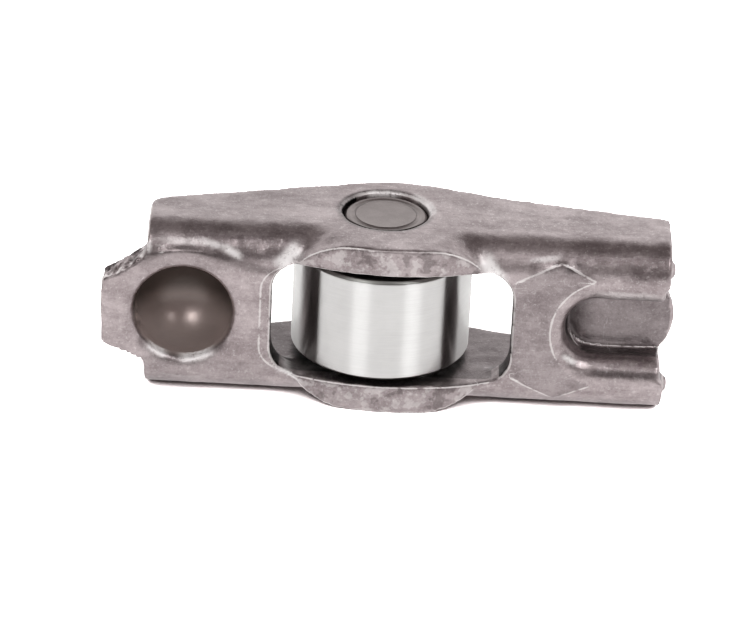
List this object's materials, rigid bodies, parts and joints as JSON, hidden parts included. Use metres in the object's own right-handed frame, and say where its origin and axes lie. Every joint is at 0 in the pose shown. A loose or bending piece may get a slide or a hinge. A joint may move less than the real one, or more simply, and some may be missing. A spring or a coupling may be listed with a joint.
{
  "type": "roller finger follower",
  "caption": "Stamped steel rocker arm with a ball socket at one end, a grooved valve pad at the other, and a cam roller that turns on a full-complement needle bearing.",
  "frame": {"origin": "on the axis of the cam roller, midway between the two side walls", "axes": "+Z along the roller axis, up from the side wall that the part lies on; +X from the pivot socket to the valve end; -Y out of the web, where the socket and the valve pad open; +Y towards the cam"},
  "size_m": [0.054, 0.0171, 0.017],
  "materials": {
    "sheet_steel": "matt carbonitrided sheet steel",
    "axle_steel": "satin hardened steel",
    "ground_steel": "fine ground steel",
    "needle_steel": "polished steel"
  },
  "bodies": {
    "arm": {"rocker_body": "sheet_steel", "axle_pin": "axle_steel"},
    "roller": {"roller_ring": "ground_steel"},
    "needle_set": {"needle_01": "needle_steel", "needle_02": "needle_steel", "needle_03": "needle_steel", "needle_04": "needle_steel", "needle_05": "needle_steel", "needle_06": "needle_steel", "needle_07": "needle_steel", "needle_08": "needle_steel", "needle_09": "needle_steel", "needle_10": "needle_steel", "needle_11": "needle_steel", "needle_12": "needle_steel", "needle_13": "needle_steel", "needle_14": "needle_steel", "needle_15": "needle_steel", "needle_16": "needle_steel", "needle_17": "needle_steel"}
  },
  "joints": [
    {"name": "roller_spin", "type": "hinge", "parent": "arm", "child": "roller", "pos_m": [0, 0, 0], "axis": [0, 0, 1], "continuous": true},
    {"name": "needle_orbit", "type": "hinge", "parent": "arm", "child": "needle_set", "pos_m": [0, 0, 0], "axis": [0, 0, 1], "continuous": true}
  ],
  "couplings": [
    {"joint": "needle_orbit", "follows": "roller_spin", "ratio": 0.5916}
  ]
}
